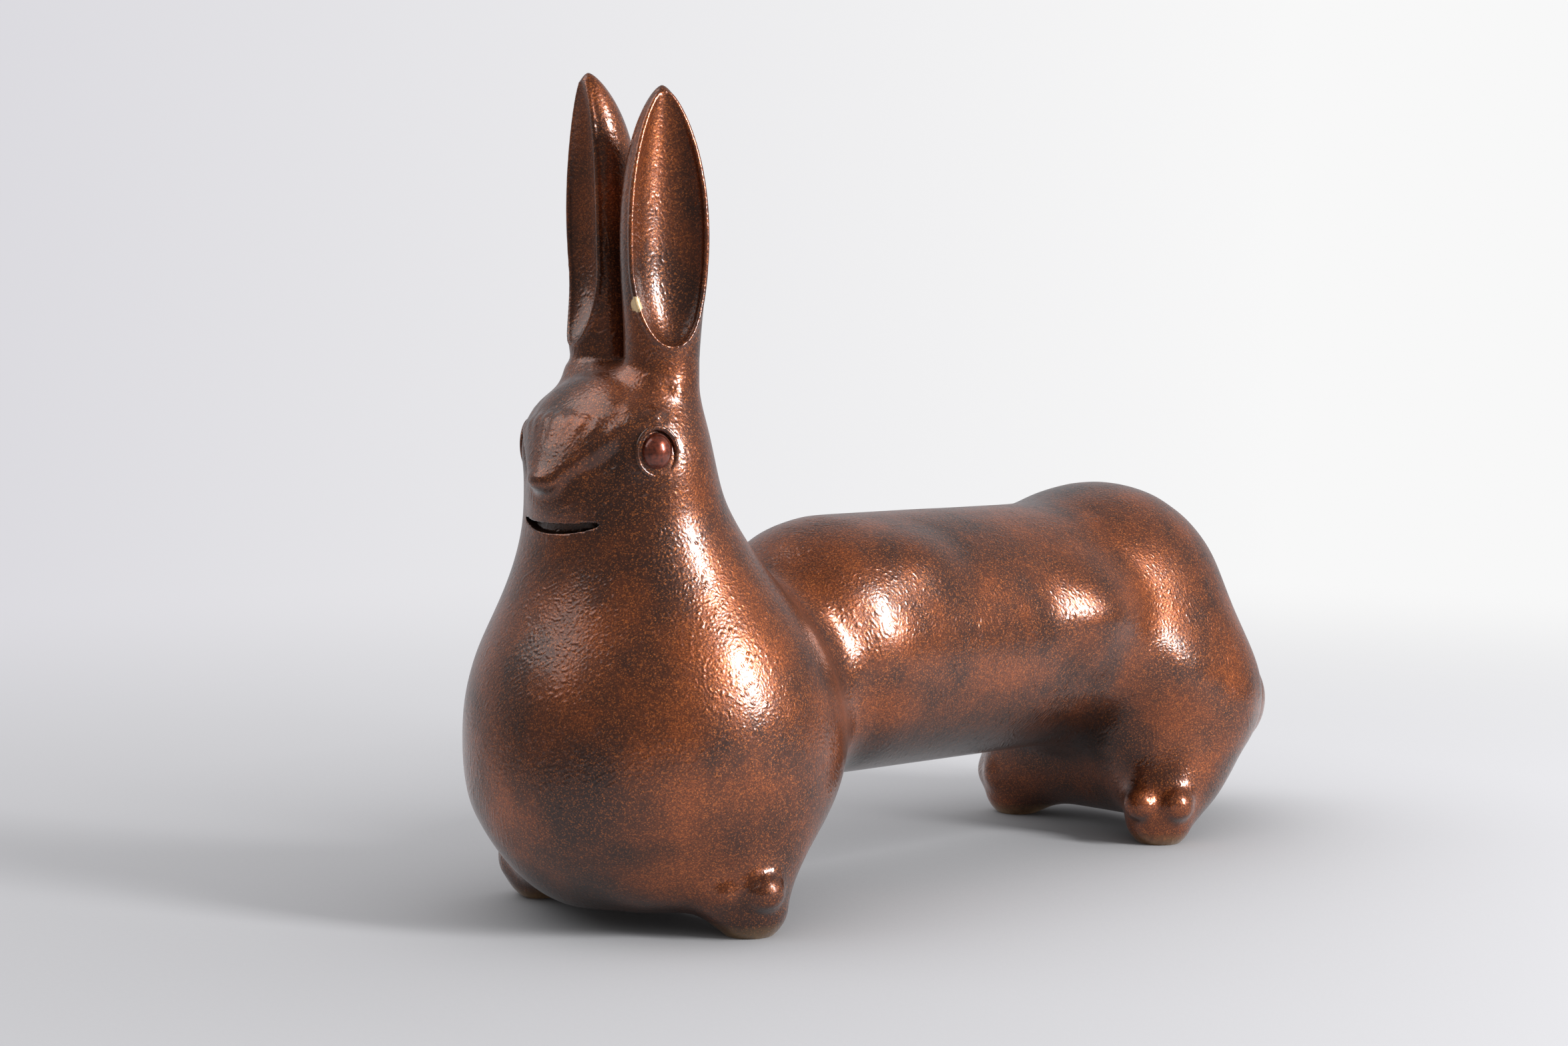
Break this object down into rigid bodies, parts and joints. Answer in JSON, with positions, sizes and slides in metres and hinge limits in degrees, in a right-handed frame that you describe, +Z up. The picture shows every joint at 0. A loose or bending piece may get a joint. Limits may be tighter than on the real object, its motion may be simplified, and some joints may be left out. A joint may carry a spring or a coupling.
{
  "type": "plaster rabbit figurine",
  "caption": "Standing rabbit ornament with upright scooped ears, set-in bead eyes, a long rounded body and short legs, cast hollow in plaster under copper-brown lacquer.",
  "frame": {"origin": "middle of the figurine's box seen from above, on the surface that it stands on", "axes": "+Z up, the rabbit faces -Y, and its left side is +X"},
  "size_m": [0.1222, 0.3476, 0.2578],
  "materials": {
    "lacquered_plaster": "copper-brown metallic-flake lacquer brushed over cast plaster, glossy, with fine brush lines",
    "lacquered_bead": "smooth reddish-brown lacquer over a plaster bead, glossy",
    "iron": "bare black iron bar and wire with mill scale",
    "hemp_plaster": "rough cream plaster with hemp fibres, matt"
  },
  "bodies": {
    "root": {"front_casting": "lacquered_plaster", "rear_casting": "lacquered_plaster", "ear_left": "lacquered_plaster", "ear_right": "lacquered_plaster", "eye_left": "lacquered_bead", "eye_right": "lacquered_bead", "spine_bar": "iron", "neck_bar": "iron", "front_leg_hoop": "iron", "rear_leg_hoop": "iron", "ear_wire_left": "iron", "ear_wire_right": "iron", "front_wad": "hemp_plaster", "rear_wad": "hemp_plaster"}
  },
  "joints": []
}
